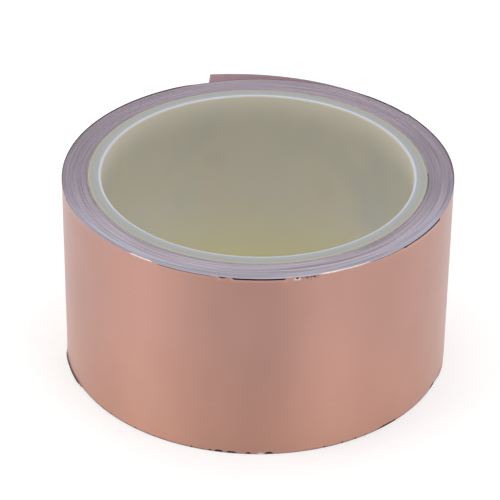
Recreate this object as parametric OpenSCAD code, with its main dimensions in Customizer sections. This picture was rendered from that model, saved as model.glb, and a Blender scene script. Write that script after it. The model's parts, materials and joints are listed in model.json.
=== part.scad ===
// Roll of adhesive-backed copper foil tape, wound foil side out on a plastic tube,
// with its free end standing loose from the pack.
// The roll's axis is Z. It stands on the end face at z = 0, and the origin is on the axis there.
// The tape runs counter-clockwise, seen from above, from the core to its cut end.

/* [Core] */
// Radius of the core's bore, half of the 3 inch standard
bore_r = 38.1; // [12:0.1:80]
// Thickness of the core's wall
core_wall = 3.3; // [1.5:0.1:6]
// Bevel on the bore's two edges
bore_bevel = 0.4; // [0.2:0.1:0.5]
// Bevel on the two outer edges, under the first wrap
rim_bevel = 0.2; // [0.1:0.1:0.5]

/* [Starter tape] */
// Thickness of the double-sided tape that holds the first wrap to the core
starter_t = 0.12; // [0.05:0.01:0.3]
// How far round the core it reaches, in degrees
starter_sweep = 354; // [90:1:359]

/* [Tape] */
// Width of the tape, which is the length of the core as well
tape_w = 50; // [6:0.5:100]
// Thickness of the copper foil
foil_t = 0.05; // [0.03:0.01:0.1]
// Thickness of the adhesive film
adhesive_t = 0.03; // [0.02:0.01:0.08]
// Thickness of the release liner
liner_t = 0.09; // [0.05:0.01:0.15]
// Number of whole turns on the core
turns = 36; // [3:1:60]

/* [Free end] */
// Direction in which the tape leaves the pack, in degrees counter-clockwise from +X
peel_dir = 50; // [20:1:160]
// Radius that the loose length keeps, larger than the pack's
tail_r = 58.4; // [50:0.1:90]
// Length of the loose length, from where it leaves the pack to its cut end
tail_l = 46.4; // [20:0.1:60]
// Length of liner at the cut end that can be picked off the adhesive
tab_l = 13; // [6:0.5:18]

/* [Hidden] */
$fn = 144;

core_r = bore_r + core_wall;
web_t = liner_t + adhesive_t + foil_t;

// Each layer lies this far above the underside of the web.
liner_lift = 0;
adhesive_lift = liner_t;
foil_lift = liner_t + adhesive_t;

// Inner radius of the first wrap, and of the last one, which ends at the peel line.
first_r = core_r + starter_t;
last_r = first_r + turns * web_t;

// Room at the peel line and at the tab's line for the two sides to turn without touching.
hinge_gap = 0.3;
// The loose length starts this far above the wrap below it, and the tab off the adhesive.
tail_clear = 0.05;
tab_clear = 0.03;

// An arc of this length on this radius, in degrees.
function sweep_of(length, radius) = length / radius * 180 / PI;

// The pack ends just short of the peel line.
pack_end = peel_dir - sweep_of(hinge_gap, last_r);
tail_sweep = sweep_of(tail_l, tail_r);
tab_sweep = sweep_of(tab_l, tail_r);
gap_sweep = sweep_of(hinge_gap, tail_r);
tab_dir = peel_dir + tail_sweep - tab_sweep;
// The centre of the loose length lies behind the axis, so that it leaves the pack tangentially.
tail_centre = last_r + tail_clear - tail_r;

// A strip of the tape's width, r_in to r_in + t from the axis, through a part of a turn.
module strip(r_in, t, from, sweep)
    rotate_extrude(angle = sweep, start = from)
        translate([r_in, 0]) square([t, tape_w]);

// The first half of a turn goes about the axis. The second half goes about a line half a web
// beside it, so that it ends where the next turn starts.
module half_turn_in(lift, t, turn, from = 0, sweep = 180)
    strip(first_r + lift + turn * web_t, t, from, sweep);

module half_turn_out(lift, t, turn)
    translate([web_t / 2, 0, 0])
        strip(first_r + lift + (turn + 0.5) * web_t, t, 180, 180);

// One layer wound as a spiral: whole turns, and then on to end_dir.
module winding(lift, t, whole_turns, end_dir) {
    for (turn = [0 : whole_turns - 1]) {
        half_turn_in(lift, t, turn);
        half_turn_out(lift, t, turn);
    }
    half_turn_in(lift, t, whole_turns, 0, end_dir);
}

// One layer of the loose length, from one direction to another about its own centre.
module tail_layer(lift, t, from, to)
    translate(tail_centre * [cos(peel_dir), sin(peel_dir), 0])
        strip(tail_r + lift, t, from, to - from);

module core() color("lightsteelblue")
    rotate_extrude()
        polygon([
            [bore_r, bore_bevel], [bore_r + bore_bevel, 0],
            [core_r - rim_bevel, 0], [core_r, rim_bevel],
            [core_r, tape_w - rim_bevel], [core_r - rim_bevel, tape_w],
            [bore_r + bore_bevel, tape_w], [bore_r, tape_w - bore_bevel]
        ]);

module starter_tape() color("sienna") strip(core_r, starter_t, 0, starter_sweep);

module liner_winding() color("whitesmoke") winding(liner_lift, liner_t, turns, pack_end);

module adhesive_winding() color("thistle") winding(adhesive_lift, adhesive_t, turns, pack_end);

// All of the foil on the pack but its outermost turn.
module foil_winding() color("peru") winding(foil_lift, foil_t, turns - 1, peel_dir);

// The outermost turn of the foil, which is the copper that shows.
module outer_wrap() color("lightsalmon") {
    half_turn_in(foil_lift, foil_t, turns - 1, peel_dir, 180 - peel_dir);
    half_turn_out(foil_lift, foil_t, turns - 1);
    half_turn_in(foil_lift, foil_t, turns, 0, pack_end);
}

module tail_liner() color("whitesmoke")
    tail_layer(liner_lift, liner_t, peel_dir, tab_dir - gap_sweep);

module tail_adhesive() color("thistle")
    tail_layer(adhesive_lift, adhesive_t, peel_dir, peel_dir + tail_sweep);

module tail_foil() color("peru")
    tail_layer(foil_lift, foil_t, peel_dir, peel_dir + tail_sweep);

module liner_tab() color("white")
    tail_layer(liner_lift - tab_clear, liner_t, tab_dir, peel_dir + tail_sweep);

core();
starter_tape();
liner_winding();
adhesive_winding();
foil_winding();
outer_wrap();
tail_liner();
tail_adhesive();
tail_foil();
liner_tab();
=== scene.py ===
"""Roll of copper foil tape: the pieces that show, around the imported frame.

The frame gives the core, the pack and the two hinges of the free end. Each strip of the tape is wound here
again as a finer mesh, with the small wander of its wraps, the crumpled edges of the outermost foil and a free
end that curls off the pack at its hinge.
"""

import json
import math

import bmesh
import bpy
from bpy.props import FloatProperty, FloatVectorProperty, IntProperty, PointerProperty
from mathutils import Matrix, Vector, noise


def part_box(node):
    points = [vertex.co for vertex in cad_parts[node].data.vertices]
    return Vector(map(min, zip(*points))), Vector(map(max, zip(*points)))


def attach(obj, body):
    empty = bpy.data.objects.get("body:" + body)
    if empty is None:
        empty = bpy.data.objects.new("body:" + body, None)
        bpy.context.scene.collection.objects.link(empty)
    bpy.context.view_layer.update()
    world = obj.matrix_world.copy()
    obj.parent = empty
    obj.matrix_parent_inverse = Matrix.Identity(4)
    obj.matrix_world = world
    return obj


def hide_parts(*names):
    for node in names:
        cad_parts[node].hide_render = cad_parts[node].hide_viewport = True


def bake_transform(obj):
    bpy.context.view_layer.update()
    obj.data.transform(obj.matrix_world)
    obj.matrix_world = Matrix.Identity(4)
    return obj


bl_info = {
    "name": "Copper Foil Tape Roll",
    "version": (1, 0, 0),
    "blender": (4, 5, 0),
    "location": "View3D > Sidebar > Tape Roll",
    "description": "Builds a roll of copper foil tape around its packed frame",
    "category": "Add Mesh",
}

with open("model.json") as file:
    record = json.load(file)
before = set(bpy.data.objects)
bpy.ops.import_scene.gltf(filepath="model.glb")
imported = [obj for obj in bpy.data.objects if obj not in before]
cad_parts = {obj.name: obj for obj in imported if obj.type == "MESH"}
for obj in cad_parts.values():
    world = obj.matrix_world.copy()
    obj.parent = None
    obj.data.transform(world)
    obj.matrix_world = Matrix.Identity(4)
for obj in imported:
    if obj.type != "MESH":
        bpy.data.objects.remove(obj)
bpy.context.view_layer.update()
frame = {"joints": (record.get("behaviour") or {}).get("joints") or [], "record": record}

MM = 0.001


def joint_named(name):
    """The frame's joint with this name."""
    return next(joint for joint in frame["joints"] if joint["name"] == name)


def mount_named(name):
    """The frame's mount with this name."""
    return next(mount for mount in frame["record"]["mounts"] if mount["name"] == name)


# ---- Sizes that the frame gives ----

BORE_R = mount_named("spindle_bore")["dims"]["r_mm"] * MM
CORE_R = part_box("core")[1].x
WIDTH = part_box("core")[1].z
FIRST_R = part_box("starter_tape")[1].x
PEEL_HINGE = Vector(joint_named("tail_peel")["pos_m"])
PICK_HINGE = Vector(joint_named("liner_pick")["pos_m"])
PEEL_DIR = math.atan2(PEEL_HINGE.y, PEEL_HINGE.x)


# ---- Curves and colours ----


def linear(hex_colour):
    """A colour's linear RGBA, from its sRGB hex value."""
    channels = [int(hex_colour[i : i + 2], 16) / 255 for i in (1, 3, 5)]
    return tuple(c / 12.92 if c <= 0.04045 else ((c + 0.055) / 1.055) ** 2.4 for c in channels) + (1.0,)


def shade(colour, factor):
    """The colour, darker or lighter by a factor."""
    return tuple(c * factor for c in colour[:3]) + (1.0,)


def smooth(value, low, high):
    """0 below low, 1 above high, and a smooth step between them."""
    t = min(max((value - low) / (high - low), 0.0), 1.0)
    return t * t * (3 - 2 * t)


def bump(value, centre, half_width):
    """1 at the centre, falling smoothly to 0 at half a width to either side."""
    return 1 - smooth(abs(value - centre), 0, half_width)


def between(value, start, end, fade):
    """1 between two values, fading to 0 inside both ends."""
    fade = min(fade, (end - start) / 2)
    return smooth(value, start, start + fade) * (1 - smooth(value, end - fade, end))


def degrees_round(co):
    """The direction of a point from the axis, in degrees."""
    return math.degrees(math.atan2(co.y, co.x)) % 360


# ---- What a user would change ----


class TapeSizes(bpy.types.PropertyGroup):
    """Sizes of the strips, which match the frame's."""

    turns: IntProperty(name="Turns", description="Whole turns on the core", default=36, min=3)
    liner_t: FloatProperty(
        name="Liner",
        description="Thickness of the release liner",
        default=0.09 * MM,
        unit="LENGTH",
        precision=5,
    )
    adhesive_t: FloatProperty(
        name="Adhesive",
        description="Thickness of the adhesive",
        default=0.03 * MM,
        unit="LENGTH",
        precision=5,
    )
    foil_t: FloatProperty(
        name="Foil",
        description="Thickness of the copper foil",
        default=0.05 * MM,
        unit="LENGTH",
        precision=5,
    )
    tail_r: FloatProperty(
        name="Curl", description="Radius that the free end keeps", default=58.4 * MM, unit="LENGTH"
    )
    tail_l: FloatProperty(
        name="Free end", description="Length of the free end", default=46.4 * MM, unit="LENGTH"
    )
    tab_l: FloatProperty(
        name="Liner tab", description="Length of liner that can be picked off", default=13 * MM, unit="LENGTH"
    )
    wander: FloatProperty(
        name="Wander", description="How far a wrap strays along the axis", default=0.06 * MM, unit="LENGTH"
    )


class TapeColours(bpy.types.PropertyGroup):
    """Colours of the materials."""

    copper: FloatVectorProperty(
        name="Copper", description="Bare foil", subtype="COLOR", size=4, default=linear("#D3A395")
    )
    cut_liner: FloatVectorProperty(
        name="Liner edge",
        description="Cut edge of the liner",
        subtype="COLOR",
        size=4,
        default=linear("#A19BA7"),
    )
    cut_foil: FloatVectorProperty(
        name="Foil edge",
        description="Cut edge of the foil",
        subtype="COLOR",
        size=4,
        default=linear("#8C7784"),
    )
    # The liner's colour is whitish paper with a painted pink tint of light bounced off the copper.
    liner: FloatVectorProperty(
        name="Liner", description="Face of the liner", subtype="COLOR", size=4, default=linear("#D9C4CF")
    )
    core: FloatVectorProperty(
        name="Core",
        description="Plastic of the core",
        subtype="COLOR",
        size=4,
        default=linear("#BCB9AA"),
    )
    floor: FloatVectorProperty(
        name="Floor", description="Plain floor", subtype="COLOR", size=4, default=linear("#C0C0C0")
    )


class StudioSettings(bpy.types.PropertyGroup):
    """Where the camera is."""

    lens: FloatProperty(name="Lens", description="Focal length", default=181.1, min=1, unit="CAMERA")
    distance: FloatProperty(
        name="Distance", description="From the camera to its target", default=624.7 * MM, unit="LENGTH"
    )
    elevation: FloatProperty(
        name="Elevation",
        description="Of the camera above the floor",
        default=math.radians(32.49),
        subtype="ANGLE",
    )
    roll: FloatProperty(
        name="Roll", description="Of the camera about its view", default=math.radians(0.70), subtype="ANGLE"
    )
    target: FloatVectorProperty(
        name="Target",
        description="Point that the camera looks at",
        default=(-1.62 * MM, 0, 27.39 * MM),
        subtype="TRANSLATION",
        unit="LENGTH",
    )


def colours():
    """The colours that the materials take."""
    return bpy.context.scene.tape_colours


# ---- Nodes ----


def add(tree, kind, inputs=None, output=0, stops=None, **settings):
    """Adds a node and gives back one of its outputs, or None if it has no outputs.

    inputs gives its inputs, by name or number, a value or another node's output. settings are the
    node's own. stops are a colour ramp's, as (place, colour).
    """
    node = tree.nodes.new(kind)
    for key, value in settings.items():
        setattr(node, key, value)
    if stops:
        elements = node.color_ramp.elements
        for element, (place, colour) in zip(elements, (stops[0], stops[-1])):
            element.position = place
            element.color = colour
        for place, colour in stops[1:-1]:
            elements.new(place).color = colour
    for key, value in (inputs or {}).items():
        if isinstance(value, bpy.types.NodeSocket):
            tree.links.new(value, node.inputs[key])
        else:
            node.inputs[key].default_value = value
    return node.outputs[output] if len(node.outputs) else None


# A Mix node's settings to mix or to multiply two colours, and the numbers of its sockets for them.
MIX = {"data_type": "RGBA"}
TIMES = {"data_type": "RGBA", "blend_type": "MULTIPLY"}
FACTOR, FIRST, SECOND, RESULT = 0, 6, 7, 2

WHITE = (1.0, 1.0, 1.0, 1.0)


def rest_place(tree):
    """Where a point of the strip lies at rest, so that a pattern bends with it."""
    return add(tree, "ShaderNodeAttribute", output="Vector", attribute_name="rest")


def stretched_noise(tree, place, per_metre, detail=2.0, roughness=0.5):
    """Noise with this many features in a metre along each axis."""
    mapped = add(tree, "ShaderNodeMapping", {"Vector": place, "Scale": per_metre})
    settings = {"Vector": mapped, "Scale": 1.0, "Detail": detail, "Roughness": roughness}
    return add(tree, "ShaderNodeTexNoise", settings)


def radius_of(tree, place):
    """How far a place is from the axis, and its direction from it."""
    flat = add(tree, "ShaderNodeVectorMath", {0: place, 1: (1, 1, 0)}, operation="MULTIPLY")
    radius = add(tree, "ShaderNodeVectorMath", {0: flat}, "Value", operation="LENGTH")
    return radius, add(tree, "ShaderNodeVectorMath", {0: flat}, operation="NORMALIZE")


def winding_noise(tree, place, along, across, detail):
    """Noise that runs round the roll, with long features round it and fine ones outwards.

    along and across are the number of features in a metre round the pack and outwards."""
    radius, way = radius_of(tree, place)
    spread = add(tree, "ShaderNodeVectorMath", {0: way, "Scale": along * CORE_R}, operation="SCALE")
    outwards = add(tree, "ShaderNodeMath", {0: radius, 1: across}, operation="MULTIPLY")
    lifted = add(tree, "ShaderNodeCombineXYZ", {"Z": outwards})
    both = add(tree, "ShaderNodeVectorMath", {0: spread, 1: lifted}, operation="ADD")
    return add(tree, "ShaderNodeTexNoise", {"Vector": both, "Scale": 1.0, "Detail": detail})


# ---- Materials ----


def material_named(name, build):
    """The material with this name, which build fills with nodes the first time it is asked for."""
    material = bpy.data.materials.get(name)
    if material is None:
        material = bpy.data.materials.new(name)
        material.use_nodes = True
        material.node_tree.nodes.clear()
        shader = build(material.node_tree)
        add(material.node_tree, "ShaderNodeOutputMaterial", {"Surface": shader})
    return material


def rolled_copper(tree):
    """Bare rolled copper foil: satin, with faint rolling lines along the strip that smear its
    reflections across the strip, and very slightly cloudy."""
    place = rest_place(tree)
    base = tuple(colours().copper)
    # Rolling lines are a few hundredths of a millimetre apart; these are 0.5 mm, to show.
    lines = stretched_noise(tree, place, (40, 40, 2000), 3, 0.6)
    line_stops = [(0.3, (0.94, 0.94, 0.95, 1)), (0.7, WHITE)]
    lined = add(tree, "ShaderNodeValToRGB", {0: lines}, stops=line_stops)
    # The clouds are 22 to 33 mm across.
    clouds = stretched_noise(tree, place, (45, 45, 30), 2)
    cloud_stops = [(0.35, shade(base, 0.96)), (0.65, shade(base, 1.03))]
    cloudy = add(tree, "ShaderNodeValToRGB", {0: clouds}, stops=cloud_stops)
    # It is a little lighter and more orange towards its lower edge.
    height = add(tree, "ShaderNodeSeparateXYZ", {"Vector": place}, "Z")
    low = add(tree, "ShaderNodeMapRange", {"Value": height, "From Min": 0.7 * WIDTH, "From Max": 0.0})
    orange = {FACTOR: low, FIRST: WHITE, SECOND: (1.05, 1.01, 0.93, 1.0)}
    warm = add(tree, "ShaderNodeMix", orange, RESULT, **MIX)
    both = add(tree, "ShaderNodeMix", {FACTOR: 1.0, FIRST: cloudy, SECOND: lined}, RESULT, **TIMES)
    colour = add(tree, "ShaderNodeMix", {FACTOR: 1.0, FIRST: both, SECOND: warm}, RESULT, **TIMES)
    # Painted highlight: near-white colour on its folded lip, on the torn edge of a nick and on a spot of its
    # bottom edge.
    painted_highlight = add(tree, "ShaderNodeAttribute", output="Fac", attribute_name="painted_highlight")
    lip = {FACTOR: painted_highlight, FIRST: colour, SECOND: linear("#FFF1EA")}
    bright = add(tree, "ShaderNodeMix", lip, RESULT, **MIX)
    # Painted shade: dark brown along the lowest part of its bottom edge, in its dents and on a stretch that
    # flares out.
    painted_low_shade = add(tree, "ShaderNodeAttribute", output="Fac", attribute_name="painted_low_shade")
    low_shade_mix = {FACTOR: painted_low_shade, FIRST: bright, SECOND: linear("#4A1E18")}
    polish_stops = [(0.3, (0.5, 0.5, 0.5, 1)), (0.7, (0.58, 0.58, 0.58, 1))]
    polish = add(tree, "ShaderNodeValToRGB", {0: lines}, stops=polish_stops)
    glint_roughness = {FACTOR: painted_highlight, FIRST: polish, SECOND: (0.3, 0.3, 0.3, 1.0)}
    # The foil lies over the faint unevenness of the wraps: soft swells some 20 mm long.
    swells = stretched_noise(tree, place, (50, 50, 22), 1)
    tall = add(tree, "ShaderNodeMath", {0: swells, 1: 12.0}, operation="MULTIPLY")
    relief = add(tree, "ShaderNodeMath", {0: tall, 1: lines}, operation="ADD")
    shader = {
        "Base Color": add(tree, "ShaderNodeMix", low_shade_mix, RESULT, **MIX),
        "Metallic": 1.0,
        "Roughness": add(tree, "ShaderNodeMix", glint_roughness, RESULT, **MIX),
        "Anisotropic": 0.9,
        "Anisotropic Rotation": 0.25,
        "Tangent": add(tree, "ShaderNodeTangent", direction_type="RADIAL", axis="Z"),
        "Specular Tint": (0.78, 0.92, 1.0, 1.0),
        "Coat Weight": 0.4,
        "Coat Roughness": 0.25,
        "Normal": add(tree, "ShaderNodeBump", {"Strength": 0.35, "Distance": 0.02 * MM, "Height": relief}),
    }
    return add(tree, "ShaderNodeBsdfPrincipled", shader)


def strata(tree, colour, spread, roughness):
    """The cut edges of one layer, wrap on wrap: each wrap was slit a little differently, so its tone shifts
    along it. On the side that faces front the outer third of the pack has a painted bluish-grey reflection,
    and painted light and shade make the sides darker than the back and the front."""
    place = rest_place(tree)
    # Features are 50 mm long round the pack and 1 mm, or six wraps, outwards; and 20 mm by 0.37 mm.
    coarse = winding_noise(tree, place, 20, 1000, 2.0)
    fine = winding_noise(tree, place, 50, 2700, 1.0)
    some_coarse = add(tree, "ShaderNodeMath", {0: coarse, 1: 0.35}, operation="MULTIPLY")
    more_fine = add(tree, "ShaderNodeMath", {0: fine, 1: 0.65}, operation="MULTIPLY")
    tone = add(tree, "ShaderNodeMath", {0: some_coarse, 1: more_fine}, operation="ADD")
    tones = [(0.38, shade(colour, 1 - spread)), (0.62, shade(colour, 1 + spread))]
    streaks = add(tree, "ShaderNodeValToRGB", {0: tone}, stops=tones)
    radius, _ = radius_of(tree, place)
    outer_third = {"Value": radius, "From Min": CORE_R + 3.0 * MM, "From Max": CORE_R + 4.6 * MM}
    outer = add(tree, "ShaderNodeMapRange", outer_third)
    depth = add(tree, "ShaderNodeSeparateXYZ", {"Vector": place}, "Y")
    front = add(tree, "ShaderNodeMapRange", {"Value": depth, "From Min": 5 * MM, "From Max": -25 * MM})
    # The streaks are plainer at the front, where the wraps lie looser.
    plain = add(tree, "ShaderNodeMapRange", {"Value": front, "To Min": 0.5, "To Max": 0.0})
    evened = {FACTOR: plain, FIRST: streaks, SECOND: shade(colour, 1.0)}
    toned = add(tree, "ShaderNodeMix", evened, RESULT, **MIX)
    # Painted reflection: the outer third turns bluish-grey on the side that faces front.
    grey = add(tree, "ShaderNodeMath", {0: outer, 1: front}, operation="MULTIPLY")
    greyed = {FACTOR: grey, FIRST: toned, SECOND: (0.97, 1.05, 1.08, 1.0)}
    tinted = add(tree, "ShaderNodeMix", greyed, RESULT, **TIMES)
    # Painted light and shade: darker at the sides, a little lighter at the back and lighter still at the
    # front.
    across = add(tree, "ShaderNodeMapRange", {"Value": depth, "From Min": 48 * MM, "From Max": -48 * MM})
    sheen_stops = [
        (0.0, (1.06, 1.05, 1.05, 1)),
        (0.4, (0.83, 0.82, 0.83, 1)),
        (0.58, (0.87, 0.86, 0.87, 1)),
        (0.75, (1.13, 1.18, 1.17, 1)),
        (1.0, (1.12, 1.18, 1.15, 1)),
    ]
    sheen = add(tree, "ShaderNodeValToRGB", {0: across}, stops=sheen_stops)
    sheened = add(tree, "ShaderNodeMix", {FACTOR: 1.0, FIRST: tinted, SECOND: sheen}, RESULT, **TIMES)
    return add(tree, "ShaderNodeBsdfPrincipled", {"Base Color": sheened, "Roughness": roughness})


def slit_liner(tree):
    """The liner's cut edges: matt lilac-grey paper."""
    return strata(tree, colours().cut_liner, 0.36, 0.6)


def slit_foil(tree):
    """The foil's cut edges: darker, and dulled by adhesive that the knife dragged over them."""
    return strata(tree, colours().cut_foil, 0.32, 0.5)


def coated_copper(tree):
    """The foil's back, under its adhesive: dark brown where it shows at a gap."""
    mottle = stretched_noise(tree, rest_place(tree), (400, 400, 400), 2)
    browns = [(0.35, linear("#3A2822")), (0.65, linear("#553C34"))]
    brown = add(tree, "ShaderNodeValToRGB", {0: mottle}, stops=browns)
    return add(tree, "ShaderNodeBsdfPrincipled", {"Base Color": brown, "Metallic": 0.6, "Roughness": 0.5})


def liner_paper(tree):
    """Glassine release paper: smooth and whitish, with a painted pink tint of light bounced off the copper.
    """
    base = tuple(colours().liner)
    # Paper fibres clump into clouds about 2 mm across.
    fibres = stretched_noise(tree, rest_place(tree), (500, 500, 500), 4, 0.6)
    tones = [(0.35, shade(base, 0.93)), (0.65, shade(base, 1.05))]
    shader = {
        "Base Color": add(tree, "ShaderNodeValToRGB", {0: fibres}, stops=tones),
        "Roughness": 0.45,
        "Normal": add(tree, "ShaderNodeBump", {"Strength": 0.1, "Distance": 0.02 * MM, "Height": fibres}),
    }
    return add(tree, "ShaderNodeBsdfPrincipled", shader)


def adhesive_film(tree):
    """Acrylic adhesive: a soft brown film, which looks nearly black where it shows between layers."""
    strings = stretched_noise(tree, rest_place(tree), (300, 300, 900), 2)
    browns = [(0.3, linear("#301C17")), (0.7, linear("#452C24"))]
    shader = {
        "Base Color": add(tree, "ShaderNodeValToRGB", {0: strings}, stops=browns),
        "Roughness": 0.6,
        "Specular IOR Level": 0.15,
    }
    return add(tree, "ShaderNodeBsdfPrincipled", shader)


def tissue_tape(tree):
    """Brown double-sided tissue tape, soaked with adhesive, mottled with fibres and dust."""
    fibres = stretched_noise(tree, rest_place(tree), (700, 700, 700), 4, 0.7)
    browns = [(0.3, linear("#857869")), (0.7, linear("#B3A998"))]
    brown = add(tree, "ShaderNodeValToRGB", {0: fibres}, stops=browns)
    return add(tree, "ShaderNodeBsdfPrincipled", {"Base Color": brown, "Roughness": 0.55})


def core_plastic(tree):
    """Extruded polypropylene tube, milky and slightly yellow: light goes a little way into it, so it is
    soft-looking, and cloudy where the wall is uneven. Painted light makes its bore paler towards the rim."""
    place = rest_place(tree)
    base = tuple(colours().core)
    height = add(tree, "ShaderNodeSeparateXYZ", {"Vector": place}, "Z")
    radius, _ = radius_of(tree, place)
    # Clouds in the wall are 15 to 30 mm across.
    clouds = stretched_noise(tree, place, (48, 48, 38), 2, 0.45)
    cloud_stops = [(0.34, linear("#B3B3AA")), (0.5, base), (0.68, linear("#C0B8A9"))]
    cloudy = add(tree, "ShaderNodeValToRGB", {0: clouds}, stops=cloud_stops)
    # A few soft grey smudges, about 10 mm across, have been rubbed on it.
    smudges = stretched_noise(tree, place, (95, 95, 70), 1)
    smudge_stops = [(0.62, WHITE), (0.8, (0.93, 0.925, 0.92, 1))]
    smudge = add(tree, "ShaderNodeValToRGB", {0: smudges}, stops=smudge_stops)
    wall = add(tree, "ShaderNodeMix", {FACTOR: 1.0, FIRST: cloudy, SECOND: smudge}, RESULT, **TIMES)
    low = add(tree, "ShaderNodeMapRange", {"Value": height, "From Min": 0.4 * WIDTH, "From Max": 0.0})
    yellowed = {FACTOR: low, FIRST: wall, SECOND: linear("#C4BD93")}
    yellow = add(tree, "ShaderNodeMix", yellowed, RESULT, **MIX)
    # Painted light: the bore's wall turns paler towards its rim, where more light falls into it.
    near_rim = {"Value": height, "From Min": WIDTH - 9 * MM, "From Max": WIDTH - 0.5 * MM}
    rise = add(tree, "ShaderNodeMapRange", near_rim)
    rim = add(tree, "ShaderNodeMath", {0: rise, 1: 1.6}, operation="POWER")
    rim_light = {FACTOR: rim, FIRST: yellow, SECOND: linear("#D8D2C3")}
    pale = add(tree, "ShaderNodeMix", rim_light, RESULT, **MIX)
    # Outwards over the end face: the bore's bevel, painted pale as a highlight; a bluish half; a yellower
    # half; and the verge that the knife roughened.
    end_face = linear("#BFC1CA")
    for start, stop, hex_colour in (
        (BORE_R + 0.32 * MM, BORE_R + 0.80 * MM, "#96999C"),
        (BORE_R + 1.3 * MM, BORE_R + 2.1 * MM, "#95968D"),
        (CORE_R - 0.7 * MM, CORE_R - 0.2 * MM, "#A39E9A"),
    ):
        step = add(tree, "ShaderNodeMapRange", {"Value": radius, "From Min": start, "From Max": stop})
        ring = {FACTOR: step, FIRST: end_face, SECOND: linear(hex_colour)}
        end_face = add(tree, "ShaderNodeMix", ring, RESULT, **MIX)
    off_wall = {"Value": radius, "From Min": BORE_R + 0.02 * MM, "From Max": BORE_R + 0.10 * MM}
    on_end = {FACTOR: add(tree, "ShaderNodeMapRange", off_wall), FIRST: pale, SECOND: end_face}
    grain = stretched_noise(tree, place, (900, 900, 900), 2)
    shader = {
        "Base Color": add(tree, "ShaderNodeMix", on_end, RESULT, **MIX),
        "Roughness": 0.38,
        "Subsurface Weight": 0.12,
        "Subsurface Scale": 2 * MM,
        "Subsurface Radius": (1.0, 0.9, 0.6),
        "Normal": add(tree, "ShaderNodeBump", {"Strength": 0.12, "Distance": 0.03 * MM, "Height": grain}),
    }
    return add(tree, "ShaderNodeBsdfPrincipled", shader)


def light_table(tree):
    """Matt opal table under the roll, which glows a little, so that no hard shadow falls on it."""
    shader = {
        "Base Color": colours().floor,
        "Roughness": 0.9,
        "Emission Color": WHITE,
        "Emission Strength": 0.5,
    }
    return add(tree, "ShaderNodeBsdfPrincipled", shader)


def strip_materials(kind):
    """Of a strip's faces, of its cut edges and, on the foil, of its back."""
    finishes = {
        "liner": (("glassine_liner", liner_paper), ("slit_liner_edge", slit_liner)),
        "adhesive": (("acrylic_adhesive", adhesive_film), ("acrylic_adhesive", adhesive_film)),
        "foil": (
            ("rolled_copper_foil", rolled_copper),
            ("slit_foil_edge", slit_foil),
            ("adhesive_coated_copper", coated_copper),
        ),
    }
    return [material_named(name, build) for name, build in finishes[kind]]


# ---- The path of the tape ----

# The free end's pieces start on the pack, this far short of the hinge, where they butt on the pack's.
SEAM = -10 * MM
# The loose length starts this far above the wrap below it.
TAIL_CLEAR = 0.05 * MM
# Lengths along the start of the loose length and of the tab; the free end's builder finds the tape's point at
# their ends but does not use it.
TAIL_BEND = 14 * MM
TAB_BEND = 7 * MM

# Steps in a turn of the pack, and of the foil that shows, and the length of one on the free end.
PACK_STEPS = 192
EDGE_STEPS = 1400
LOOSE_STEP = 0.6 * MM

# The bottom and top edges of the pack's strips.
PACK_LOW = 0.14 * MM
PACK_HIGH = WIDTH - 0.01 * MM

# The tape's top edge has settled by this much round the back, over these directions in degrees.
SETTLE = 0.55 * MM
SETTLE_FROM, SETTLE_TO, SETTLE_FADE = 62, 222, 50

# The last wrap stands off the pack in two places near the hinge: (distance, half width, how far).
SWELLS = ((-6 * MM, 11 * MM, 0.18 * MM), (-32 * MM, 20 * MM, 0.12 * MM))
# Further back along the tape than this, in turns from the hinge, it lies snug.
SNUG = -0.7

# Layers that touch are each made thinner by this on both faces. The foil that shows has the wider one.
SKIN = 0.001 * MM
FOIL_SKIN = 0.002 * MM


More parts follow.
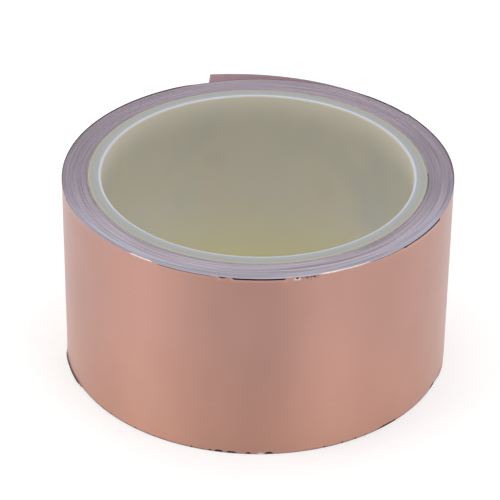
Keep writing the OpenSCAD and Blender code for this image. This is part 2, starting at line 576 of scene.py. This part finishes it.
class Web:
    """The path of the tape, which is wound up and then runs on into the free end.

    A place on it is the distance past the hinge, below zero on the pack; the height across the
    tape; and the lift above the underside of the web."""

    def __init__(self):
        sizes = bpy.context.scene.tape_sizes
        self.turns = sizes.turns
        self.lifts = {"liner": 0.0, "adhesive": sizes.liner_t, "foil": sizes.liner_t + sizes.adhesive_t}
        self.thick = {"liner": sizes.liner_t, "adhesive": sizes.adhesive_t, "foil": sizes.foil_t}
        self.web = sizes.liner_t + sizes.adhesive_t + sizes.foil_t
        self.last_r = FIRST_R + sizes.turns * self.web
        self.tail_r = sizes.tail_r
        self.tail_l = sizes.tail_l
        self.tab_start = sizes.tail_l - sizes.tab_l
        self.wander = sizes.wander
        behind = self.last_r + TAIL_CLEAR - sizes.tail_r
        self.tail_centre = Vector((behind * math.cos(PEEL_DIR), behind * math.sin(PEEL_DIR), 0))
        # The outermost turn of the foil starts here, a turn before the seam.
        self.last_turn = self.distance(self.turns - 1) + PEEL_DIR * self.last_r + SEAM

    def distance(self, turns_along):
        """The distance past the hinge, from the turns since the start of the tape."""
        return ((turns_along - self.turns) * math.tau - PEEL_DIR) * self.last_r

    def turns_along(self, distance):
        """The turns since the start of the tape."""
        return self.turns + (PEEL_DIR + distance / self.last_r) / math.tau

    def wraps(self, start, end, steps):
        """Distances from one to another, with whole steps in a turn so that wraps lie snugly."""
        first, last = self.turns_along(start) * steps, self.turns_along(end) * steps
        inner = range(math.floor(first) + 1, math.ceil(last))
        return [start] + [self.distance(i / steps) for i in inner] + [end]

    def point(self, distance, height, lift, loose):
        """Where a place on the tape is. The loose pieces rise off the pack before the hinge."""
        if distance > 0:
            direction = PEEL_DIR + distance / self.tail_r
            radius = self.tail_r + lift
            centre = self.tail_centre
        else:
            along = self.turns_along(distance)
            turn = math.floor(along + 1e-9)
            direction = (along - turn) * math.tau
            half = 0.5 if direction >= math.pi else 0.0
            radius = FIRST_R + (turn + half) * self.web + lift
            radius += TAIL_CLEAR * smooth(distance, SEAM, 0) if loose else 0
            centre = Vector((half * self.web, 0, 0))
        if distance > SNUG * math.tau * self.last_r:
            radius += sum(out * bump(distance, middle, half) for middle, half, out in SWELLS)
        at_back = between(math.degrees(direction) % 360, SETTLE_FROM, SETTLE_TO, SETTLE_FADE)
        height -= SETTLE * (height / WIDTH) ** 2 * at_back
        return centre + Vector((radius * math.cos(direction), radius * math.sin(direction), height))

    def stray(self, distance):
        """How far a wrap strays down the axis at this place on the tape."""
        along = self.turns_along(distance)
        near = noise.noise(Vector((along * 0.83, 3.1, 0.0)))
        slow = noise.noise(Vector((along * 0.19, 7.7, 0.0)))
        quick = noise.noise(Vector((along * 6.0, 1.3, 0.0)))
        return -self.wander * (1.0 + 0.9 * near + 0.7 * slow + 0.25 * quick)


# ---- Strips ----


def strip_object(name, cuts, rows, thick, place, materials):
    """A strip of the tape as a closed slab. It is made flat, and then each point is put in its place.
    place takes (distance, height, depth)."""
    bm = bmesh.new()
    columns, lines = len(cuts) - 1, len(rows) - 1
    bmesh.ops.create_grid(bm, x_segments=columns, y_segments=lines, size=0.5)
    for vert in bm.verts:
        vert.co.x = cuts[round((vert.co.x + 0.5) * columns)]
        vert.co.y = rows[round((vert.co.y + 0.5) * lines)]
    upper = bmesh.ops.extrude_face_region(bm, geom=bm.faces[:], use_keep_orig=True)["geom"]
    raised = [v for v in upper if isinstance(v, bmesh.types.BMVert)]
    bmesh.ops.translate(bm, verts=raised, vec=(0, 0, thick))
    bmesh.ops.recalc_face_normals(bm, faces=bm.faces)
    for face in bm.faces:
        on_back = len(materials) > 2 and face.normal.z < -0.7
        face.material_index = 1 if abs(face.normal.y) > 0.7 else 2 if on_back else 0
    for vert in bm.verts:
        vert.co = place(*vert.co)
    bmesh.ops.recalc_face_normals(bm, faces=bm.faces)
    return object_of(bm, name, materials)


def object_of(bm, name, materials):
    """Makes the object of a mesh, and marks where each point lies at rest."""
    for face in bm.faces:
        face.smooth = True
    rest = bm.verts.layers.float_vector.new("rest")
    for vert in bm.verts:
        vert[rest] = vert.co
    mesh = bpy.data.meshes.new(name)
    bm.to_mesh(mesh)
    bm.free()
    for material in materials:
        mesh.materials.append(material)
    mesh.set_sharp_from_angle(angle=math.radians(35))
    obj = bpy.data.objects.new(name, mesh)
    bpy.context.scene.collection.objects.link(obj)
    return obj


def mark(obj, name, value_at):
    """Stores a value at each point of a mesh, for its material. value_at takes (degrees, height)."""
    values = obj.data.attributes.new(name, "FLOAT", "POINT").data
    for vert, value in zip(obj.data.vertices, values):
        value.value = value_at(degrees_round(vert.co), vert.co.z)


def claim(obj, node, body=None):
    """Hides the frame's node that a piece stands for and, for a piece that turns as one, attaches it to its
    body.
    """
    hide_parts(node)
    if body:
        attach(obj, body)


# ---- The edges of the foil that shows ----

# Its bottom and top edge, and the distances from each of its rows of points, in mm.
FOIL_LOW = 0.26 * MM
FOIL_HIGH = WIDTH - 0.03 * MM
EDGE_ROWS = (0.0, 0.08, 0.17, 0.28, 0.42, 0.62, 0.95, 1.5, 2.6, 5.0, 10.0, 17.0)
FOIL_ROWS = [FOIL_LOW + d * MM for d in EDGE_ROWS] + [FOIL_HIGH - d * MM for d in reversed(EDGE_ROWS)]

# Directions are in degrees. Where the top edge leans outwards a dark gap opens: (from, to, how far).
GAPS = (
    (196, 228, 0.14 * MM),
    (241, 258, 0.28 * MM),
    (259.0, 262.2, 0.55 * MM),
    (262.7, 278.5, 0.68 * MM),
    (303, 317, 0.20 * MM),
    (315, 335, 0.36 * MM),
)
# Where it is folded in over the pack it shows as a lip with a painted highlight: (from, to). The fold is a
# chamfer that goes in this far and rises this far.
LIPS = ((231.5, 240), (278.6, 280.6), (287.5, 303.5))
LIP_IN = 0.2 * MM
LIP_UP = 0.13 * MM
# Where it is crimped: (from, to, depth).
CRIMPS = ((281.8, 287.8, 0.45 * MM), (306, 310, 0.05 * MM))
# Nicks in it: (where, half width, depth). The first one's torn edge has a painted highlight.
NICKS = ((281.2, 0.8, 0.6 * MM), (262.3, 0.35, 0.2 * MM), (46.0, 0.9, 0.2 * MM))
# At the left and the right of the roll it stands proud of the pack by this much.
PROUD = 0.24 * MM
# Dents in the bottom edge: (where, half width, depth).
LOW_DENTS = (
    (259.6, 1.5, 0.26 * MM),
    (263.3, 2.2, 0.14 * MM),
    (268.2, 1.3, 0.12 * MM),
    (274.2, 1.5, 0.28 * MM),
    (312.2, 6.0, 0.12 * MM),
    (336.5, 2.5, 0.30 * MM),
)
# A painted highlight on the bottom edge: (where, half width).
LOW_GLINT = (271.8, 1.4)
# Stretches of the bottom edge that flare outwards: (from, to, how far). The first one is painted dark with
# shade.
FLARES = ((184, 209, 0.45 * MM), (338, 352, 0.25 * MM))


def lip_at(degrees):
    """1 where the top edge is folded in, and 0 where it isn't."""
    return sum(between(degrees, start, end, 1.0) for start, end in LIPS)


def painted_highlight_at(degrees, height):
    """How strongly a painted highlight lightens the foil, from 0 to 1."""
    top = smooth(height, FOIL_HIGH - 0.16 * MM, FOIL_HIGH + 0.05 * MM)
    torn = smooth(height, FOIL_HIGH - 0.9 * MM, FOIL_HIGH - 0.5 * MM)
    low = 1 - smooth(height, FOIL_LOW + 0.1 * MM, FOIL_LOW + 0.4 * MM)
    nick = torn * bump(degrees, NICKS[0][0], 1.3)
    return min(top * lip_at(degrees) + nick + low * bump(degrees, *LOW_GLINT), 1.0)


def painted_low_shade_at(degrees, height):
    """How dark painted shade makes the foil's bottom edge, from 0 to 1."""
    dents = sum(bump(degrees, centre, half) for centre, half, _ in LOW_DENTS)
    start, end, _ = FLARES[0]
    flare = between(degrees, start + 2, end - 2, 4)
    line = 0.45 * between(degrees, 190, 262, 10) + 0.35 * between(degrees, 280, 345, 10)
    reach = 0.75 * MM if start < degrees < end else 0.22 * MM
    low = 1 - smooth(height, FOIL_LOW + 0.1 * MM, FOIL_LOW + reach)
    return low * min(max(1.6 * dents, flare, line), 1.0)


def crumple(co, height):
    """Crumples the edges of the foil that shows. height is across the flat tape."""
    degrees = degrees_round(co)
    near_top = smooth(height, FOIL_HIGH - 1.5 * MM, FOIL_HIGH)
    at_top = smooth(height, FOIL_HIGH - 0.18 * MM, FOIL_HIGH)
    near_low = 1 - smooth(height, FOIL_LOW, FOIL_LOW + 0.9 * MM)
    lean = sum(out * between(degrees, start, end, 1.2) for start, end, out in GAPS)
    lip = lip_at(degrees)
    crimps = sum(depth * between(degrees, start, end, 0.7) for start, end, depth in CRIMPS)
    teeth = math.sin(degrees * 7.2 + 2 * math.sin(degrees * 1.9))
    torn = sum(depth * bump(degrees, centre, half) for centre, half, depth in NICKS)
    dents = sum(depth * bump(degrees, centre, half) for centre, half, depth in LOW_DENTS)
    dents += 0.16 * MM * max(noise.noise(Vector((degrees * 0.9, 9.1, 0.0))), 0.0)
    flare = sum(out * between(degrees, start, end, 6) for start, end, out in FLARES)
    proud = PROUD * (between(degrees, 108, 232, 8) + between((degrees + 90) % 360, 62, 150, 8))
    wavy = 0.03 * MM * noise.noise(Vector((degrees * 1.7, 2.2, 0.0)))
    ripple = 0.015 * MM * noise.noise(Vector((degrees * 0.9, 0.4, 0.0)))
    push = near_top**2 * (lean + ripple) + near_top**2 * crimps * max(teeth, -0.2)
    push += near_low**2 * (flare - dents) - at_top * LIP_IN * lip
    rise = near_top**4 * (wavy + proud - torn) + at_top * (LIP_UP * lip + 0.4 * crimps * teeth)
    rise += near_low**3 * 0.5 * dents
    wider = 1 + push / math.hypot(co.x, co.y)
    return Vector((co.x * wider, co.y * wider, co.z + rise))


# ---- Pieces ----


def build_core():
    """The plastic tube, with a bevel round its bore and a smaller one under the first wrap."""
    bm = bmesh.new()
    bore_bevel, rim_bevel = 0.28 * MM, 0.22 * MM
    outline = [
        (BORE_R, bore_bevel),
        (BORE_R + bore_bevel, 0),
        (CORE_R - rim_bevel, 0),
        (CORE_R, rim_bevel),
        (CORE_R, WIDTH - rim_bevel),
        (CORE_R - rim_bevel, WIDTH),
        (BORE_R + bore_bevel, WIDTH),
        (BORE_R, WIDTH - bore_bevel),
    ]
    verts = [bm.verts.new((x, 0, z)) for x, z in outline]
    edges = [bm.edges.new(pair) for pair in zip(verts, verts[1:] + verts[:1])]
    bmesh.ops.spin(
        bm,
        geom=verts + edges,
        cent=(0, 0, 0),
        axis=(0, 0, 1),
        dvec=(0, 0, 0),
        angle=math.tau,
        steps=240,
        use_merge=True,
    )
    bmesh.ops.recalc_face_normals(bm, faces=bm.faces)
    rims = [e for e in bm.edges if len(e.link_faces) == 2 and e.calc_face_angle() > math.radians(20)]
    bmesh.ops.bevel(bm, geom=rims, offset=0.08 * MM, segments=3, profile=0.5, affect="EDGES", material=-1)
    core = object_of(bm, "core_tube", [material_named("extruded_polypropylene", core_plastic)])
    claim(core, "core", "roll")


def build_starter():
    """The double-sided tape round the core, with a slightly ragged top edge."""
    gap = 0.005 * MM
    sweep = math.radians(359)

    def round_core(distance, height, depth):
        direction = distance / CORE_R
        ragged = 0.08 * MM * noise.noise(Vector((distance * 900, height * 90, 0)))
        radius = CORE_R + gap + depth
        height += ragged - 0.05 * MM if height > WIDTH / 2 else 0
        return Vector((radius * math.cos(direction), radius * math.sin(direction), height))

    cuts = [CORE_R * sweep * i / 359 for i in range(360)]
    rows = [0.05 * MM, 1 * MM, WIDTH - 1 * MM, WIDTH - 0.05 * MM]
    tissue = [material_named("brown_tissue_tape", tissue_tape)] * 2
    starter = strip_object("starter_strip", cuts, rows, FIRST_R - CORE_R - 2 * gap, round_core, tissue)
    claim(starter, "starter_tape", "roll")


def build_wraps(web, kind, name, node, end, inset):
    """One layer of the pack, from the start of the tape to a distance along it."""

    def wound(distance, height, depth):
        return web.point(distance, height + web.stray(distance), web.lifts[kind] + SKIN + depth, False)

    cuts = web.wraps(web.distance(0), end, PACK_STEPS)
    low, high = PACK_LOW + inset, PACK_HIGH - inset
    rows = [low, low + 0.5 * MM, high - 0.5 * MM, high]
    strip = strip_object(name, cuts, rows, web.thick[kind] - 2 * SKIN, wound, strip_materials(kind))
    claim(strip, node, "roll")


def build_outer_wrap(web):
    """The last turn of the foil, with its crumpled edges."""

    def wound(distance, height, depth):
        return crumple(web.point(distance, height, web.lifts["foil"] + FOIL_SKIN + depth, False), height)

    cuts = web.wraps(web.last_turn, SEAM, EDGE_STEPS)
    thick = web.thick["foil"] - 2 * FOIL_SKIN
    wrap = strip_object("outer_foil_wrap", cuts, FOIL_ROWS, thick, wound, strip_materials("foil"))
    mark(wrap, "painted_highlight", painted_highlight_at)
    mark(wrap, "painted_low_shade", painted_low_shade_at)
    claim(wrap, "outer_wrap", "roll")


def build_loose(web, kind, name, node, start, end, inset):
    """One layer of the free end, between two distances past the hinge."""
    skin = FOIL_SKIN if kind == "foil" else SKIN

    def hung(distance, height, depth):
        # The cut is slanted: below its top corner the tape is up to 1.8 mm longer.
        below = WIDTH - height
        slant = 0.16 * below / (1 + below / (14 * MM)) * smooth(distance, 0.7 * web.tail_l, web.tail_l)
        return web.point(distance + slant, height, web.lifts[kind] + skin + depth, True)

    low, high = FOIL_LOW + inset, FOIL_HIGH - inset
    down = (0.0, 1 * MM, 12 * MM, 25 * MM)
    rows = [low + d for d in down] + [high - d for d in reversed(down[:-1])]
    if kind == "foil":
        rows = FOIL_ROWS
    count = max(round((end - start) / LOOSE_STEP), 4)
    cuts = [start + (end - start) * i / count for i in range(count + 1)]
    strip = strip_object(name, cuts, rows, web.thick[kind] - 2 * skin, hung, strip_materials(kind))
    claim(strip, node)
    return strip


# ---- Studio ----

# Softboxes: (name, degrees round from the front, degrees up, distance, size, watts, colour).
SOFTBOXES = (
    ("left_softbox", -76, 54, 1.25, 0.55, 2.6, "#FFFAF6"),
    ("right_softbox", 50, 54, 1.25, 0.55, 2.6, "#FFFFFF"),
    ("top_softbox", 180, 80, 1.3, 1.1, 6.0, "#FBFCFF"),
)
# The tent's opening: its middle, to the right of the front, its half width, and the heights on a
# sphere of radius 1 between which the roof closes it.
OPENING = math.radians(8)
OPENING_HALF = math.radians(75)
ROOF_LOW, ROOF_HIGH = 0.62, 0.86


def studio_world():
    """A pale tent all round, which opens on a darker room at the front."""
    world = bpy.data.worlds.new("studio")
    world.use_nodes = True
    tree = world.node_tree
    tree.nodes.clear()
    way = add(tree, "ShaderNodeTexCoord", output="Generated")
    flat = add(tree, "ShaderNodeVectorMath", {0: way, 1: (1, 1, 0)}, operation="MULTIPLY")
    level = add(tree, "ShaderNodeVectorMath", {0: flat}, operation="NORMALIZE")
    middle = (math.sin(OPENING), -math.cos(OPENING), 0)
    towards = add(tree, "ShaderNodeVectorMath", {0: level, 1: middle}, "Value", operation="DOT_PRODUCT")
    aside = add(tree, "ShaderNodeMath", {0: towards}, operation="ARCCOSINE")
    opening = add(tree, "ShaderNodeMapRange", {"Value": aside, "From Min": OPENING_HALF, "From Max": 0.0})
    soft = add(tree, "ShaderNodeMath", {0: opening, 1: 1.5}, operation="POWER")
    height = add(tree, "ShaderNodeSeparateXYZ", {"Vector": way}, "Z")
    below = add(tree, "ShaderNodeMapRange", {"Value": height, "From Min": ROOF_HIGH, "From Max": ROOF_LOW})
    darker = add(tree, "ShaderNodeMath", {0: soft, 1: below}, operation="MULTIPLY")
    room = {FACTOR: darker, FIRST: WHITE, SECOND: (0.05, 0.05, 0.05, 1.0)}
    colour = add(tree, "ShaderNodeMix", room, RESULT, **MIX)
    background = add(tree, "ShaderNodeBackground", {"Color": colour, "Strength": 0.75})
    add(tree, "ShaderNodeOutputWorld", {"Surface": background})
    return world


def studio_floor():
    """A plain round floor, 3 m in radius, just below the roll."""
    bm = bmesh.new()
    bmesh.ops.create_circle(bm, cap_ends=True, segments=96, radius=3.0)
    bmesh.ops.translate(bm, verts=bm.verts, vec=(0, 0, -0.02 * MM))
    object_of(bm, "floor", [material_named("opal_light_table", light_table)])


def softbox(scene, name, azimuth, elevation, distance, size, power, hex_colour):
    """A square light that faces the middle of the roll."""
    light = bpy.data.lights.new(name, "AREA")
    light.size = size
    light.energy = power
    light.color = linear(hex_colour)[:3]
    lamp = bpy.data.objects.new(name, light)
    scene.collection.objects.link(lamp)
    a, e = math.radians(azimuth), math.radians(elevation)
    away = Vector((math.sin(a) * math.cos(e), -math.cos(a) * math.cos(e), math.sin(e)))
    lamp.location = Vector((0, 0, WIDTH / 2)) + distance * away
    lamp.rotation_mode = "QUATERNION"
    lamp.rotation_quaternion = away.to_track_quat("Z", "Y")


def studio_camera(scene):
    """The camera, in front of the roll and above it, with a full-frame sensor."""
    settings = scene.tape_studio
    data = bpy.data.cameras.new("camera")
    data.lens = settings.lens
    data.sensor_width = 36.0
    data.clip_start = 10 * MM
    camera = bpy.data.objects.new("camera", data)
    scene.collection.objects.link(camera)
    back = Vector((0, -math.cos(settings.elevation), math.sin(settings.elevation)))
    camera.location = Vector(settings.target) + settings.distance * back
    camera.rotation_mode = "QUATERNION"
    facing = back.to_track_quat("Z", "Y")
    camera.rotation_quaternion = facing @ Matrix.Rotation(settings.roll, 4, "Z").to_quaternion()
    return camera


# ---- Operators ----


class ROLL_OT_stage(bpy.types.Operator):
    """Makes the floor, the lights and the camera"""

    bl_idname = "tape_roll.stage"
    bl_label = "Stage"
    bl_options = {"REGISTER", "UNDO"}

    def execute(self, context):
        scene = context.scene
        scene.view_settings.view_transform = "Standard"
        studio_floor()
        scene.world = studio_world()
        for settings in SOFTBOXES:
            softbox(scene, *settings)
        scene.camera = studio_camera(scene)
        return {"FINISHED"}


class ROLL_OT_core(bpy.types.Operator):
    """Builds the plastic core and the starter tape on it"""

    bl_idname = "tape_roll.core"
    bl_label = "Core"
    bl_options = {"REGISTER", "UNDO"}

    def execute(self, context):
        build_core()
        build_starter()
        return {"FINISHED"}


class ROLL_OT_pack(bpy.types.Operator):
    """Winds the liner, the adhesive and all but the last turn of the foil"""

    bl_idname = "tape_roll.pack"
    bl_label = "Pack"
    bl_options = {"REGISTER", "UNDO"}

    def execute(self, context):
        web = Web()
        build_wraps(web, "liner", "liner_wraps", "liner_winding", SEAM, 0.0)
        build_wraps(web, "adhesive", "adhesive_wraps", "adhesive_winding", SEAM, 0.05 * MM)
        build_wraps(web, "foil", "foil_wraps", "foil_winding", web.last_turn, 0.0)
        return {"FINISHED"}


class ROLL_OT_outer_wrap(bpy.types.Operator):
    """Builds the last turn of the foil, which is the copper that shows"""

    bl_idname = "tape_roll.outer_wrap"
    bl_label = "Outer wrap"
    bl_options = {"REGISTER", "UNDO"}

    def execute(self, context):
        build_outer_wrap(Web())
        return {"FINISHED"}


class ROLL_OT_free_end(bpy.types.Operator):
    """Builds the loose length of foil, adhesive and liner, and the liner's tab"""

    bl_idname = "tape_roll.free_end"
    bl_label = "Free end"
    bl_options = {"REGISTER", "UNDO"}

    def execute(self, context):
        web = Web()
        end, tab = web.tail_l, web.tab_start
        tail_bend = web.point(TAIL_BEND, PEEL_HINGE.z, 0, True)
        for kind, name, node, stop, inset in (
            ("foil", "loose_foil", "tail_foil", end, 0.0),
            ("adhesive", "loose_adhesive", "tail_adhesive", end - 0.1 * MM, 0.1 * MM),
            ("liner", "loose_liner", "tail_liner", tab, 0.04 * MM),
        ):
            strip = build_loose(web, kind, name, node, SEAM, stop, inset)
            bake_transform(strip)
        tab_start, tab_end = tab + 0.02 * MM, end - 0.05 * MM
        strip = build_loose(web, "liner", "liner_end", "liner_tab", tab_start, tab_end, 0.04 * MM)
        tab_bend = web.point(tab + TAB_BEND, PICK_HINGE.z, 0, True)
        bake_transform(strip)
        return {"FINISHED"}


OPERATORS = (ROLL_OT_stage, ROLL_OT_core, ROLL_OT_pack, ROLL_OT_outer_wrap, ROLL_OT_free_end)


class VIEW3D_PT_tape_roll(bpy.types.Panel):
    """Lists the sizes, the colours and the builders"""

    bl_label = "Tape Roll"
    bl_space_type = "VIEW_3D"
    bl_region_type = "UI"
    bl_category = "Tape Roll"

    def draw(self, context):
        for group in (context.scene.tape_sizes, context.scene.tape_colours, context.scene.tape_studio):
            for name in type(group).__annotations__:
                self.layout.prop(group, name)
        for operator in OPERATORS:
            self.layout.operator(operator.bl_idname)


GROUPS = {"tape_sizes": TapeSizes, "tape_colours": TapeColours, "tape_studio": StudioSettings}
CLASSES = (*GROUPS.values(), *OPERATORS, VIEW3D_PT_tape_roll)


def register():
    for cls in CLASSES:
        bpy.utils.register_class(cls)
    for name, group in GROUPS.items():
        setattr(bpy.types.Scene, name, PointerProperty(type=group))


def unregister():
    for name in GROUPS:
        delattr(bpy.types.Scene, name)
    for cls in reversed(CLASSES):
        bpy.utils.unregister_class(cls)


def main():
    """Builds everything."""
    register()
    bpy.ops.tape_roll.stage()
    bpy.ops.tape_roll.core()
    bpy.ops.tape_roll.pack()
    bpy.ops.tape_roll.outer_wrap()
    bpy.ops.tape_roll.free_end()


if __name__ == "__main__":
    main()
